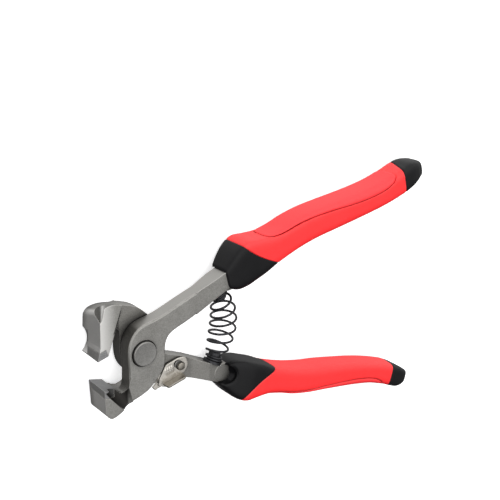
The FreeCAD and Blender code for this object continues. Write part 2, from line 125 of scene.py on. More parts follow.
world = bpy.data.worlds.new("studio")
bpy.context.scene.world = world
world.use_nodes = True
sky = world.node_tree
direction = sky.nodes.new("ShaderNodeTexCoord")
towards = sky.nodes.new("ShaderNodeVectorMath")
towards.operation = "DOT_PRODUCT"
towards.inputs[1].default_value = BRIGHT_SIDE
sky.links.new(direction.outputs["Generated"], towards.inputs[0])
ramp = sky.nodes.new("ShaderNodeMapRange")
ramp.interpolation_type = "SMOOTHSTEP"
for label, value in (("From Min", -0.45), ("From Max", 0.70), ("To Min", DIM), ("To Max", BRIGHT)):
    ramp.inputs[label].default_value = value
sky.links.new(towards.outputs["Value"], ramp.inputs["Value"])
sky.links.new(ramp.outputs["Result"], sky.nodes["Background"].inputs["Strength"])
sky.nodes["Background"].inputs["Color"].default_value = (1.0, 1.0, 1.0, 1.0)
bpy.context.scene.view_settings.view_transform = "Standard"

floor_mesh = bpy.data.meshes.new("floor")
half_floor = FLOOR_SIZE / 2
corners = [(x * half_floor, y * half_floor, 0) for x, y in ((-1, -1), (1, -1), (1, 1), (-1, 1))]
floor_mesh.from_pydata(corners, [], [(0, 1, 2, 3)])
floor = bpy.data.objects.new("floor", floor_mesh)
bpy.context.collection.objects.link(floor)
floor.visible_glossy = False
floor.visible_diffuse = False

# %% [markdown]
# ## Shared shader effects
# Several finishes need the same few effects: fine speckle left by blasting, scratches left by a belt, and
# edges made bright, partly by wear and partly as a painted highlight. Each effect is one node group with named
# sockets, built once and placed in every material that wants it, so a change to the effect reaches all of them.

# %% Node group helpers
def new_group(name, inputs, outputs):
    """A shader node group with float inputs {name: default} and outputs [(name, kind)]."""
    group = bpy.data.node_groups.new(name, "ShaderNodeTree")
    for label, default in inputs.items():
        socket = group.interface.new_socket(label, in_out="INPUT", socket_type="NodeSocketFloat")
        socket.default_value = default
    for label, kind in outputs:
        group.interface.new_socket(label, in_out="OUTPUT", socket_type=kind)
    return group, group.nodes.new("NodeGroupInput"), group.nodes.new("NodeGroupOutput")


def node(tree, kind, **settings):
    made = tree.nodes.new(kind)
    for key, value in settings.items():
        setattr(made, key, value)
    return made


def feed(tree, target, source):
    """Sets a socket to a number, or links another socket to it."""
    if isinstance(source, bpy.types.NodeSocket):
        tree.links.new(source, target)
    else:
        target.default_value = source


def maths(tree, operation, a, b=0.0, clamp=False):
    made = node(tree, "ShaderNodeMath", operation=operation, use_clamp=clamp)
    feed(tree, made.inputs[0], a)
    feed(tree, made.inputs[1], b)
    return made.outputs[0]


def noise(tree, scale, detail=2.0, stretch=(1.0, 1.0, 1.0)):
    """Noise on Object coordinates, its features 1 / scale metres apart, drawn out by stretch."""
    place = node(tree, "ShaderNodeTexCoord")
    mapping = node(tree, "ShaderNodeMapping")
    mapping.inputs["Scale"].default_value = stretch
    tree.links.new(place.outputs["Object"], mapping.inputs["Vector"])
    texture = node(tree, "ShaderNodeTexNoise")
    tree.links.new(mapping.outputs["Vector"], texture.inputs["Vector"])
    feed(tree, texture.inputs["Scale"], scale)
    texture.inputs["Detail"].default_value = detail
    return texture.outputs["Fac"]


print("group helpers ready")

# %% [markdown]
# Speckle is noise at two sizes, belt marks are noise drawn out along one axis, and the bright edges, partly wear
# and partly a painted highlight, come from the bevel node, which rounds a normal near a corner. Geometry could
# carry all three, but marks this fine would cost millions of faces.

# %% Effect groups: speckle, belt marks, worn and lit edges
def build_speckle():
    """Grains about 1 / Scale apart on top of clouds twenty times wider, as a value round 0.5."""
    group, given, out = new_group("speckle", {"Scale": 2500.0, "Clouds": 0.4}, [("Value", "NodeSocketFloat")])
    fine = noise(group, given.outputs["Scale"], 3.0)
    wide = noise(group, maths(group, "MULTIPLY", given.outputs["Scale"], 0.05), 3.0)
    share = maths(group, "MULTIPLY", maths(group, "SUBTRACT", wide, fine), given.outputs["Clouds"])
    group.links.new(maths(group, "ADD", fine, share), out.inputs["Value"])
    return group


def build_belt():
    """Noise drawn out forty to one along X, crossed with a finer one along Y, as a value round 0.5."""
    group, given, out = new_group("belt_marks", {"Scale": 900.0}, [("Value", "NodeSocketFloat")])
    along = noise(group, given.outputs["Scale"], 3.0, (0.05, 1.0, 1.0))
    across = noise(group, given.outputs["Scale"], 2.0, (1.0, 0.08, 1.0))
    mixed = maths(group, "ADD", maths(group, "MULTIPLY", along, 0.65), maths(group, "MULTIPLY", across, 0.35))
    group.links.new(mixed, out.inputs["Value"])
    return group


def build_edges():
    """How far a rounded normal turns away from the true one: 0 on flats, up to 1 along edges."""
    outs = [("Mask", "NodeSocketFloat"), ("Normal", "NodeSocketVector")]
    group, given, out = new_group("edge_wear_and_highlight", {"Radius": 0.0004, "Strength": 4.0}, outs)
    rounded = node(group, "ShaderNodeBevel", samples=6)
    group.links.new(given.outputs["Radius"], rounded.inputs["Radius"])
    true = node(group, "ShaderNodeNewGeometry")
    dot = node(group, "ShaderNodeVectorMath", operation="DOT_PRODUCT")
    group.links.new(rounded.outputs["Normal"], dot.inputs[0])
    group.links.new(true.outputs["Normal"], dot.inputs[1])
    turned = maths(group, "SUBTRACT", 1.0, dot.outputs["Value"])
    group.links.new(maths(group, "MULTIPLY", turned, given.outputs["Strength"], clamp=True), out.inputs["Mask"])
    group.links.new(rounded.outputs["Normal"], out.inputs["Normal"])
    return group


SPECKLE, BELT, EDGE_WEAR_AND_HIGHLIGHT = build_speckle(), build_belt(), build_edges()
print("effects:", [g.name for g in (SPECKLE, BELT, EDGE_WEAR_AND_HIGHLIGHT)])

# %% [markdown]
# ## Finishes
# A finish is a Principled shader whose colour and roughness drift with the effects above, and whose bump is only
# hundredths of a millimetre deep. Forged steel that has been blasted and then ground is a mid grey with a fine
# speckle, and it is brighter along the edges, partly from the wear of hands and boxes and partly as a painted
# highlight.

# %% Material helpers
def use_group(tree, group, **values):
    made = node(tree, "ShaderNodeGroup", node_tree=group)
    for label, value in values.items():
        made.inputs[label].default_value = value
    return made


def mix_colours(tree, factor, a, b):
    made = node(tree, "ShaderNodeMix", data_type="RGBA")
    feed(tree, made.inputs["Factor"], factor)
    for socket, colour in ((made.inputs["A"], a), (made.inputs["B"], b)):
        feed(tree, socket, colour if isinstance(colour, bpy.types.NodeSocket) else (*colour, 1.0))
    return made.outputs["Result"]


def spread(tree, value, low, high):
    """Stretches a value that stays near 0.5 so that low becomes 0 and high becomes 1."""
    made = node(tree, "ShaderNodeMapRange")
    feed(tree, made.inputs["Value"], value)
    made.inputs["From Min"].default_value = low
    made.inputs["From Max"].default_value = high
    return made.outputs["Result"]


def bump(tree, height, depth, normal=None):
    made = node(tree, "ShaderNodeBump")
    made.inputs["Distance"].default_value = depth
    made.inputs["Strength"].default_value = 1.0
    tree.links.new(height, made.inputs["Height"])
    if normal is not None:
        tree.links.new(normal, made.inputs["Normal"])
    return made.outputs["Normal"]


def blank_finish(name, **sockets):
    material = bpy.data.materials.new(name)
    material.use_nodes = True
    shader = material.node_tree.nodes["Principled BSDF"]
    for label, value in sockets.items():
        shader.inputs[label.replace("_", " ")].default_value = value
    return material, material.node_tree, shader


print("material helpers ready")

# %% [markdown]
# The jaws get painted light: a painted highlight on the upper jaw's flat side and on the jaws' front walls, and
# painted shade in the hollow below the flat sides and along a line across the upper one. Painting that by hand
# needs an image, but here each zone is a place and a slope, so masks worked out from the position and the normal
# find it, and they move with the part.

# %% Zones of the jaws
# painted shade and painted highlight: the near black and the bright grey that the jaw zones mix in
PAINTED_SHADE_BLACK, PAINTED_SHEEN_BRIGHT = (0.010, 0.009, 0.008), (0.74, 0.73, 0.71)
SIDE_FROM_LAP = 0.0077         # the jaws' flat sides stand this far from the lap plane
JAW_FROM_PIVOT = 0.0080       # the jaws start this far ahead of the pivot
PIVOT_X, PIVOT_Y, PIVOT_Z = (float(value) for value in PIVOT)
JAW_PLACE = {"Side Height": PIVOT_Z + SIDE_FROM_LAP, "Jaw End": PIVOT_X - JAW_FROM_PIVOT, "Axis Y": PIVOT_Y}
SEAM_AT = (-0.0114, 0.0236)     # a point on the painted shade line across the upper jaw, from the pivot
SEAM_ACROSS = (0.9356, -0.3534)     # that line's normal
SEAM_HALF_WIDTH = 0.0007


def past(tree, value, edge, gain):
    """0 before the edge, rising to 1 beyond it."""
    return maths(tree, "MULTIPLY", maths(tree, "SUBTRACT", value, edge), gain, clamp=True)


def build_jaw_zones():
    """Masks by place and slope, for painted light. Hollow: ground below the jaws' flat sides, for painted shade.
    Side Sheen:
    the upper jaw's flat side, fading from its front to the cheek, for a painted highlight. Front: both jaws'
    front walls,
    for a painted highlight. Seam: a line across the upper flat side, for painted shade."""
    outs = [(label, "NodeSocketFloat") for label in ("Hollow", "Side Sheen", "Front", "Seam")]
    group, given, out = new_group("jaw_zones", {"Side Height": 0.017, "Jaw End": -0.088, "Axis Y": 0.0}, outs)
    geometry = node(group, "ShaderNodeNewGeometry")
    normal = node(group, "ShaderNodeSeparateXYZ")
    group.links.new(geometry.outputs["Normal"], normal.inputs[0])
    place = node(group, "ShaderNodeTexCoord")
    at = node(group, "ShaderNodeSeparateXYZ")
    group.links.new(place.outputs["Object"], at.inputs[0])

    def both(a, b):
        return maths(group, "MULTIPLY", a, b)

    ahead = past(group, given.outputs["Jaw End"], at.outputs["X"], 900.0)
    front = past(group, maths(group, "SUBTRACT", given.outputs["Jaw End"], 0.0078), at.outputs["X"], 400.0)
    fade = past(group, maths(group, "SUBTRACT", given.outputs["Jaw End"], 0.0060), at.outputs["X"], 130.0)
    below = past(group, given.outputs["Side Height"], at.outputs["Z"], 2500.0)
    upper = past(group, at.outputs["Y"], given.outputs["Axis Y"], 900.0)
    tilted = past(group, normal.outputs["Z"], 0.12, 6.0)
    square = past(group, normal.outputs["Z"], 0.9, 20.0)
    upright = past(group, -0.5, normal.outputs["X"], 5.0)
    from_x = both(maths(group, "SUBTRACT", at.outputs["X"], PIVOT_X + SEAM_AT[0]), SEAM_ACROSS[0])
    from_y = both(maths(group, "SUBTRACT", at.outputs["Y"], PIVOT_Y + SEAM_AT[1]), SEAM_ACROSS[1])
    away = maths(group, "ABSOLUTE", maths(group, "ADD", from_x, from_y))
    line = past(group, SEAM_HALF_WIDTH, away, 3500.0)
    high = past(group, at.outputs["Y"], PIVOT_Y + 0.013, 900.0)
    side = maths(group, "SUBTRACT", 1.0, below)
    kept = maths(group, "SUBTRACT", 1.0, maths(group, "MULTIPLY", upper, 0.25))
    group.links.new(both(both(ahead, below), both(tilted, kept)), out.inputs["Hollow"])
    group.links.new(both(both(upper, square), both(fade, side)), out.inputs["Side Sheen"])
    group.links.new(both(upright, front), out.inputs["Front"])
    group.links.new(both(both(line, high), both(square, side)), out.inputs["Seam"])
    return group


JAW_ZONES = build_jaw_zones()
print("jaw zones:", [socket.name for socket in JAW_ZONES.interface.items_tree if socket.in_out == "OUTPUT"])

# %% [markdown]
# Six plain metals follow: ground carbide, the braze under it, turned steel, nickel plate and a darker copy of it
# that paints shade on the flange and the rivet, and blackened spring wire. They differ in colour, roughness and
# grain, so one recipe with settings makes them all.

# %% Metal finishes
BUMP_DEPTH = 0.00002


def metal_finish(name, dark, light, worn_and_lit_colour, rough, grain, edge_radius, marks=SPECKLE, metallic=1.0, in_jaw=False):
    """Metal whose colour runs from dark to light with the marks, and along its edges to worn_and_lit_colour,
    partly wear and partly a painted highlight.
    """
    material, tree, shader = blank_finish(name, Metallic=metallic)
    pattern = use_group(tree, marks, Scale=grain)
    edges = use_group(tree, EDGE_WEAR_AND_HIGHLIGHT, Radius=edge_radius)
    shade = spread(tree, pattern.outputs["Value"], 0.35, 0.65)
    body = mix_colours(tree, shade, dark, light)
    if in_jaw:
        zones = use_group(tree, JAW_ZONES, **JAW_PLACE)
        # painted shade in the jaws' hollow and a painted highlight on their front walls
        body = mix_colours(tree, maths(tree, "MULTIPLY", zones.outputs["Hollow"], 0.8), body, PAINTED_SHADE_BLACK)
        body = mix_colours(tree, maths(tree, "MULTIPLY", zones.outputs["Front"], 0.75), body, PAINTED_SHEEN_BRIGHT)
    tree.links.new(mix_colours(tree, edges.outputs["Mask"], body, worn_and_lit_colour), shader.inputs["Base Color"])
    drift = maths(tree, "MULTIPLY", maths(tree, "SUBTRACT", shade, 0.5), 0.16)
    tree.links.new(maths(tree, "ADD", drift, rough), shader.inputs["Roughness"])
    normal = bump(tree, pattern.outputs["Value"], BUMP_DEPTH, edges.outputs["Normal"])
    tree.links.new(normal, shader.inputs["Normal"])
    return material


# dark, light and edge colour (partly wear, partly a painted highlight), roughness, grain, and the radius of the
# bright edge
CARBIDE = metal_finish("ground_carbide", (0.20, 0.20, 0.20), (0.31, 0.31, 0.31), (0.60, 0.60, 0.60),
                       0.38, 1500.0, 0.0002, BELT, in_jaw=True)
BRAZE = metal_finish("braze_line", (0.12, 0.11, 0.09), (0.20, 0.185, 0.16), (0.30, 0.28, 0.25),
                     0.45, 2200.0, 0.0001, in_jaw=True)
TURNED = metal_finish("turned_steel", (0.185, 0.182, 0.174), (0.28, 0.276, 0.265), (0.62, 0.61, 0.59),
                      0.42, 1500.0, 0.0003)
NICKEL = metal_finish("nickel_plate", (0.50, 0.475, 0.43), (0.66, 0.63, 0.58), (0.92, 0.90, 0.86),
                      0.34, 1200.0, 0.0002)
# a darker copy of the nickel plate: painted shade, used on the flange and the rivet
SHADED_NICKEL = metal_finish("shaded_nickel_plate", (0.20, 0.185, 0.16), (0.32, 0.30, 0.265), (0.88, 0.86, 0.81),
                           0.40, 900.0, 0.0003)
BLACK_WIRE = metal_finish("blackened_wire", (0.012, 0.012, 0.014), (0.04, 0.04, 0.045), (0.08, 0.08, 0.085),
                          0.34, 2600.0, 0.0001, metallic=0.6)
print("metals:", [m.name for m in (CARBIDE, BRAZE, TURNED, NICKEL, SHADED_NICKEL, BLACK_WIRE)])

# %% [markdown]
# The forged halves need more. Their flat sides are ground, while the walls between are darkened, partly for the
# dark scale of the forge and partly as painted shade; the walls towards +Y get a painted highlight, the sides set
# back below the lap get painted shade, and so do the corners. One group finds the walls, from how far the surface
# turns away from the pivot's axis, and another finds the corners, from how much of the room a point can see.

# %% Walls and corners
# the share of painted shade on the sides set back below Side Height
SET_BACK_SHADE = 0.45


def build_walls():
    """Mask: 1 on walls that stand along the pivot's axis, SET_BACK_SHADE on sides below Side Height, 0 on the
    outer sides and the jaws' walls, which are ground. It darkens the walls, partly as forge scale and partly as
    painted shade, and the set-back sides as painted shade. Top: the walls towards +Y, which get a painted
    highlight."""
    outs = [("Mask", "NodeSocketFloat"), ("Top", "NodeSocketFloat")]
    group, given, out = new_group("wall_shade_and_sheen", {"Jaw Edge": -0.09, "Side Height": 0.015}, outs)
    geometry = node(group, "ShaderNodeNewGeometry")
    normal = node(group, "ShaderNodeSeparateXYZ")
    group.links.new(geometry.outputs["Normal"], normal.inputs[0])
    level = maths(group, "ABSOLUTE", normal.outputs["Z"])
    wall = node(group, "ShaderNodeMapRange", interpolation_type="SMOOTHSTEP")
    for label, value in (("From Min", 0.35), ("From Max", 0.85), ("To Min", 1.0), ("To Max", 0.0)):
        wall.inputs[label].default_value = value
    group.links.new(level, wall.inputs["Value"])
    place = node(group, "ShaderNodeTexCoord")
    along = node(group, "ShaderNodeSeparateXYZ")
    group.links.new(place.outputs["Object"], along.inputs[0])
    behind = past(group, along.outputs["X"], given.outputs["Jaw Edge"], 250.0)
    below = past(group, given.outputs["Side Height"], along.outputs["Z"], 1500.0)
    top = maths(group, "MULTIPLY", past(group, normal.outputs["Y"], 0.80, 8.0), wall.outputs["Result"])
    set_back = maths(group, "MULTIPLY", below, SET_BACK_SHADE)
    dark = maths(group, "MAXIMUM", maths(group, "SUBTRACT", wall.outputs["Result"], top), set_back)
    dark = maths(group, "MULTIPLY", dark, behind)
    group.links.new(maths(group, "MULTIPLY", dark, maths(group, "SUBTRACT", 1.0, top)), out.inputs["Mask"])
    group.links.new(maths(group, "MULTIPLY", top, behind), out.inputs["Top"])
    return group


# the mask for painted shade in the steel's corners and the grips' seams
def build_corners():
    """How closed in a point is: 0 in the open, towards 1 in a slot narrower than Reach."""
    group, given, out = new_group("corner_shade", {"Reach": 0.006}, [("Mask", "NodeSocketFloat")])
    open_sky = node(group, "ShaderNodeAmbientOcclusion", samples=8)
    group.links.new(given.outputs["Reach"], open_sky.inputs["Distance"])
    group.links.new(maths(group, "SUBTRACT", 1.0, open_sky.outputs["AO"]), out.inputs["Mask"])
    return group


WALL_SHADE_AND_SHEEN, CORNER_SHADE = build_walls(), build_corners()
print("forge groups:", WALL_SHADE_AND_SHEEN.name, CORNER_SHADE.name)

# %% [markdown]
# The finish itself stacks those masks in this order: the wheel on the sides, darker walls, partly forge scale and
# partly painted shade, with a painted highlight on the walls towards +Y, stains, the jaws' painted highlights and
# painted shade, painted shade in the corners and, last, edges brightened partly by hands and partly as a painted
# highlight.

# %% Forged finish
def forged_finish():
    """The ground sides, darker walls (partly forge scale, partly painted shade) with a painted highlight on the
    walls towards +Y, stains, the jaws' painted light, painted shade in the corners and edges brightened partly by
    wear and partly as a painted highlight, mixed in that order.
    """
    material, tree, shader = blank_finish("forged_and_ground_steel", Metallic=0.9)
    grain = use_group(tree, SPECKLE, Scale=1700.0)
    stain = use_group(tree, SPECKLE, Scale=260.0, Clouds=0.8)
    edges = use_group(tree, EDGE_WEAR_AND_HIGHLIGHT, Radius=0.0004, Strength=3.0)
    walls = use_group(tree, WALL_SHADE_AND_SHEEN, **{"Jaw Edge": PIVOT_X - 0.0125, "Side Height": PIVOT_Z + 0.0050})
    corners = use_group(tree, CORNER_SHADE, Reach=0.007)
    shade = spread(tree, grain.outputs["Value"], 0.33, 0.67)
    ground = mix_colours(tree, shade, (0.205, 0.200, 0.188), (0.345, 0.340, 0.322))
    # the walls' colour, partly forge scale and partly painted shade; the walls towards +Y then take a painted
    # highlight
    scale = mix_colours(tree, shade, (0.095, 0.090, 0.082), (0.175, 0.168, 0.155))
    body = mix_colours(tree, maths(tree, "MULTIPLY", walls.outputs["Mask"], 0.75), ground, scale)
    body = mix_colours(tree, maths(tree, "MULTIPLY", walls.outputs["Top"], 0.6), body, (0.42, 0.41, 0.39))
    stained = maths(tree, "MULTIPLY", spread(tree, stain.outputs["Value"], 0.45, 0.75), 0.22, clamp=True)
    body = mix_colours(tree, stained, body, (0.15, 0.14, 0.12))
    zones = use_group(tree, JAW_ZONES, **JAW_PLACE)
    # painted highlights on the upper jaw's flat side and the front walls, painted shade in the hollow and along
    # the line
    body = mix_colours(tree, maths(tree, "MULTIPLY", zones.outputs["Side Sheen"], 0.85), body, PAINTED_SHEEN_BRIGHT)
    body = mix_colours(tree, maths(tree, "MULTIPLY", zones.outputs["Front"], 0.95), body, PAINTED_SHEEN_BRIGHT)
    body = mix_colours(tree, maths(tree, "MULTIPLY", zones.outputs["Hollow"], 0.95), body, PAINTED_SHADE_BLACK)
    body = mix_colours(tree, maths(tree, "MULTIPLY", zones.outputs["Seam"], 0.95), body, PAINTED_SHADE_BLACK)
    # painted shade in the closed corners
    closed = maths(tree, "MULTIPLY", corners.outputs["Mask"], 1.35, clamp=True)
    body = mix_colours(tree, closed, body, (0.010, 0.009, 0.008))
    # edges brightened, partly wear and partly a painted highlight
    worn_and_lit = maths(tree, "MULTIPLY", edges.outputs["Mask"], maths(tree, "SUBTRACT", 1.0, closed), clamp=True)
    tree.links.new(mix_colours(tree, worn_and_lit, body, (0.62, 0.61, 0.58)), shader.inputs["Base Color"])
    rough = maths(tree, "ADD", maths(tree, "MULTIPLY", shade, 0.14), 0.40)
    wall_rough = maths(tree, "MULTIPLY", walls.outputs["Mask"], 0.06)
    tree.links.new(maths(tree, "ADD", rough, wall_rough), shader.inputs["Roughness"])
    normal = bump(tree, grain.outputs["Value"], 0.00003, edges.outputs["Normal"])
    tree.links.new(normal, shader.inputs["Normal"])
    return material


STEEL = forged_finish()
print("forged finish:", len(STEEL.node_tree.nodes), "nodes")

# %% [markdown]
# The grips are moulded in three plastics: a hard red, a softer red for the palm and a black. The mould's etching
# leaves a stipple, which bump carries, and painted shade darkens the seams, which the corner mask finds.

# %% Moulded finishes
EDGE_LIFT = 0.25        # how much of the bright colour an edge gains, partly wear and partly a painted highlight
# reach and strength of the painted shade in the seams
SEAM_REACH, SEAM_SHADE = 0.0016, 0.4


def moulded_finish(name, deep, bright, rough, stipple, depth, specular):
    """Plastic whose colour drifts between deep and bright, stippled by the mould's etching."""
    material, tree, shader = blank_finish(name, Specular_IOR_Level=specular)
    clouds = use_group(tree, SPECKLE, Scale=stipple * 0.2, Clouds=0.6)
    etched = use_group(tree, SPECKLE, Scale=stipple, Clouds=0.2)
    edges = use_group(tree, EDGE_WEAR_AND_HIGHLIGHT, Radius=0.0006, Strength=2.0)
    drift = spread(tree, clouds.outputs["Value"], 0.3, 0.7)
    # edges brightened, partly wear and partly a painted highlight
    worn_and_lit = maths(tree, "MULTIPLY", edges.outputs["Mask"], EDGE_LIFT)
    lit = maths(tree, "ADD", maths(tree, "MULTIPLY", drift, 0.6), worn_and_lit, True)
    body = mix_colours(tree, lit, deep, bright)
    # painted shade in the seams
    seams = use_group(tree, CORNER_SHADE, Reach=SEAM_REACH)
    closed = maths(tree, "MULTIPLY", seams.outputs["Mask"], 1.4, clamp=True)
    seam_shade_colour = tuple(value * SEAM_SHADE for value in deep)
    tree.links.new(mix_colours(tree, closed, body, seam_shade_colour), shader.inputs["Base Color"])
    tree.links.new(maths(tree, "ADD", maths(tree, "MULTIPLY", drift, 0.10), rough), shader.inputs["Roughness"])
    tree.links.new(bump(tree, etched.outputs["Value"], depth), shader.inputs["Normal"])
    return material


# deep and bright colour, roughness, stipple, depth of the stipple, and specular level
RED_SHELL = moulded_finish("red_shell", (0.90, 0.014, 0.016), (1.0, 0.030, 0.033), 0.42, 1600.0, 0.00003, 0.5)
RED_PAD = moulded_finish("red_soft_pad", (0.90, 0.020, 0.025), (1.0, 0.045, 0.052), 0.50, 1300.0, 0.00005, 0.5)
BLACK_SHELL = moulded_finish("black_shell", (0.003, 0.003, 0.0035), (0.008, 0.008, 0.009),
                             0.36, 1500.0, 0.00004, 0.17)
print("mouldings:", RED_SHELL.name, RED_PAD.name, BLACK_SHELL.name)

# %% [markdown]
# The floor is a pale board that glows a little, so that it stays white where the tool's shadow is soft.

# %% Floor finish
FLOOR_FINISH, floor_tree, floor_shader = blank_finish("pale_floor", Roughness=0.9)
floor_shade = use_group(floor_tree, SPECKLE, Scale=40.0)
floor_colour = mix_colours(floor_tree, floor_shade.outputs["Value"], (0.93, 0.93, 0.93), (0.95, 0.95, 0.95))
floor_tree.links.new(floor_colour, floor_shader.inputs["Base Color"])
floor_shader.inputs["Emission Color"].default_value = (1.0, 1.0, 1.0, 1.0)
floor_shader.inputs["Emission Strength"].default_value = 0.55
floor_mesh.materials.append(FLOOR_FINISH)
print("floor:", FLOOR_FINISH.name)

# %% [markdown]
# ## Surfaces from grids
# Every new piece here is a grid of points worked out as whole arrays: rows run along the piece, columns run
# round it. One helper turns such a grid into a mesh, closes it round and caps its ends with fans.

# %% Grid helper
def grid_piece(name, points, body, finish, ends=True, sharp_deg=40.0):
    """A mesh from points[row, column]: columns close round, and each end row is closed by a fan."""
    rows, cols, _ = points.shape
    index = np.arange(rows * cols).reshape(rows, cols)
    right = np.roll(index, -1, axis=1)
    quads = np.stack([index[:-1], right[:-1], right[1:], index[1:]], axis=-1).reshape(-1, 4)
    vertices = points.reshape(-1, 3)
    faces = quads.tolist()
    if ends:
        vertices = np.vstack([vertices, points[0].mean(axis=0), points[-1].mean(axis=0)])
        first, last = rows * cols, rows * cols + 1
        faces += np.stack([np.full(cols, first), right[0], index[0]], axis=-1).tolist()
        faces += np.stack([np.full(cols, last), index[-1], right[-1]], axis=-1).tolist()
    mesh = bpy.data.meshes.new(name)
    mesh.from_pydata(vertices.tolist(), [], faces)
    return finish_piece(name, mesh, body, finish, sharp_deg)


def finish_piece(name, mesh, body, finish, sharp_deg=40.0):
    """Merges doubles, turns faces outwards, smooths all but sharp edges, and rides on a body."""
    bm = bmesh.new()
    bm.from_mesh(mesh)
    bmesh.ops.remove_doubles(bm, verts=bm.verts, dist=1e-7)
    bmesh.ops.dissolve_degenerate(bm, edges=bm.edges, dist=1e-8)
    bmesh.ops.recalc_face_normals(bm, faces=bm.faces)
    bm.to_mesh(mesh)
    bm.free()
    mesh.polygons.foreach_set("use_smooth", np.ones(len(mesh.polygons), bool))
    mesh.set_sharp_from_angle(angle=math.radians(sharp_deg))
    mesh.materials.append(finish)
    piece = bpy.data.objects.new(name, mesh)
    bpy.context.collection.objects.link(piece)
    if body:
        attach(piece, body)
    print(name, "faces", len(mesh.polygons))
    return piece


def smooth(x, xs, ys):
    """Cubic through (xs, ys) with each knot's slope taken from its neighbours."""
    slopes = np.gradient(ys, xs)
    x = np.clip(x, xs[0], xs[-1])
    k = np.clip(np.searchsorted(xs, x) - 1, 0, len(xs) - 2)
    span = xs[k + 1] - xs[k]
    f = (x - xs[k]) / span
    g = 1 - f
    return (ys[k] * g * g * (1 + 2 * f) + ys[k + 1] * f * f * (1 + 2 * g)
            + slopes[k] * span * f * g * g - slopes[k + 1] * span * f * f * g)


print("grid helper ready")

# %% [markdown]
# ## The grips
# Each handle is moulded round its steel tang. Cut across, it is a rounded rectangle, which a superellipse gives:
# its power says how square the corner is, and it changes along the handle from an angular collar to a softer
# palm. The table holds stations along the handle: inner edge, outer edge, lowest and highest side, power, and
# how much nearer the tool's axis the two edges lie on the rear half.

# %% Grip surface
TILT = math.radians(15.0)
STATIONS = np.array([
    # along, inner, outer, low, high, power, rear inner, rear outer
    (52.8, 8.4, 18.6, -4.6, 8.7, 6.0, 0.0, 0.0),
    (57.5, 5.4, 22.0, -6.6, 9.1, 6.5, 0.0, 0.0),
    (63.0, 4.5, 25.2, -8.2, 9.3, 7.0, 0.0, 0.0),
    (69.5, 5.0, 26.8, -9.3, 9.3, 7.0, 0.0, 0.3),
    (76.0, 5.8, 25.3, -9.3, 9.3, 6.5, 0.0, 0.5),
    (83.0, 7.3, 23.7, -9.3, 9.3, 5.8, 0.0, 0.8),
    (91.0, 8.4, 23.4, -9.3, 9.3, 5.2, 0.3, 0.9),
    (101.0, 9.2, 24.4, -9.3, 9.3, 4.8, 0.7, 1.1),
    (112.0, 9.2, 24.5, -9.3, 9.3, 4.6, 1.1, 1.6),
    (124.0, 8.4, 23.4, -9.3, 9.3, 4.5, 1.5, 2.0),
    (137.0, 7.6, 21.9, -9.3, 9.3, 4.5, 1.4, 2.1),
    (150.0, 6.9, 20.6, -9.3, 9.3, 4.5, 1.3, 2.1),
    (162.0, 6.6, 20.1, -9.3, 9.3, 4.5, 1.0, 2.1),
    (172.0, 7.0, 20.6, -9.3, 9.3, 4.6, 0.9, 1.7),
    (180.0, 7.8, 21.6, -9.1, 9.1, 4.8, 0.9, 1.2),
    (185.6, 9.0, 22.0, -8.6, 8.6, 4.6, 0.8, 1.0),
    (189.8, 10.4, 21.2, -7.5, 7.5, 4.2, 0.7, 0.9),
    (193.2, 11.9, 19.6, -5.5, 5.5, 3.6, 0.7, 0.8),
    (194.8, 13.8, 17.4, -2.9, 2.9, 2.8, 0.7, 0.7),
])
AROUND = 192


def grip_section(s, a, side, lift=0.0):
    """Out from the axis and up, in mm, at station s and angle a: each is its middle plus its half-width
    times the signed cosine or sine raised to 2 / power. Lift makes both half-widths larger."""
    columns = (smooth(s, STATIONS[:, 0], STATIONS[:, k]) for k in range(1, 8))
    inner, outer, low, high, power, rear_in, rear_out = columns
    if side < 0:
        inner, outer = inner - rear_in, outer - rear_out
    c, n = np.cos(a), np.sin(a)
    out = (inner + outer) / 2 + ((outer - inner) / 2 + lift) * np.sign(c) * np.abs(c) ** (2 / power)
    up = (low + high) / 2 + ((high - low) / 2 + lift) * np.sign(n) * np.abs(n) ** (2 / power)
    return out, up


def even_angles(count, at=100.0):
    """Angles whose points are evenly spaced round the section at one station."""
    dense = np.linspace(0, 2 * np.pi, 20001)
    round_it = np.stack(grip_section(np.full(dense.shape, at), dense, 1), axis=-1)
    length = np.concatenate([[0], np.cumsum(np.linalg.norm(np.diff(round_it, axis=0), axis=1))])
    return np.interp(np.linspace(0, length[-1], count, endpoint=False), length, dense)


def place_grip(s, out, up, side):
    """From handle to row: turned by the handle's tilt, and for the lower grip half a turn about X."""
    x = s * math.cos(TILT) - out * math.sin(TILT)
    y = s * math.sin(TILT) + out * math.cos(TILT)
    return np.stack([x, side * y, side * up], axis=-1) * MM + PIVOT


def grip_point(s, a, side, lift=0.0):
    out, up = grip_section(s, a, side, lift)
    return place_grip(s, out, up, side)


ANGLES = even_angles(AROUND)
print("grip stations:", len(STATIONS), "columns:", AROUND)

# %% [markdown]
# The collar ends in a slanting line across the flat sides, the end cap in a line that leans from one side to the
# other, and the collar's mouth has a round bite for the pad of the steel shank. All three are found the same
# way: guess the station, read where the surface is there, and correct, a few times.

# %% Seams between the moulded pieces
# out from the axis and station, in mm
COLLAR_SEAM = np.array([(1.5, 93.0), (8.7, 83.6), (14.5, 76.4), (21.0, 70.0), (26.6, 66.0), (38.0, 61.0)])
CAP_SEAM, CAP_LEAN = 179.5, 0.33
BITE_AT, BITE_RADIUS, BITE_TOP = (54.3, 12.3), 5.6, -1.8


def settle(rule, start, a, side):
    """Stations s with s = rule(out, up) on the surface, found by averaging guess and answer."""
    s = np.full(np.shape(a), start, float)
    for _ in range(24):
        s = 0.5 * s + 0.5 * rule(*grip_section(s, a, side))
    return s


def collar_rule(out, up):
    return smooth(out, COLLAR_SEAM[:, 0], COLLAR_SEAM[:, 1])


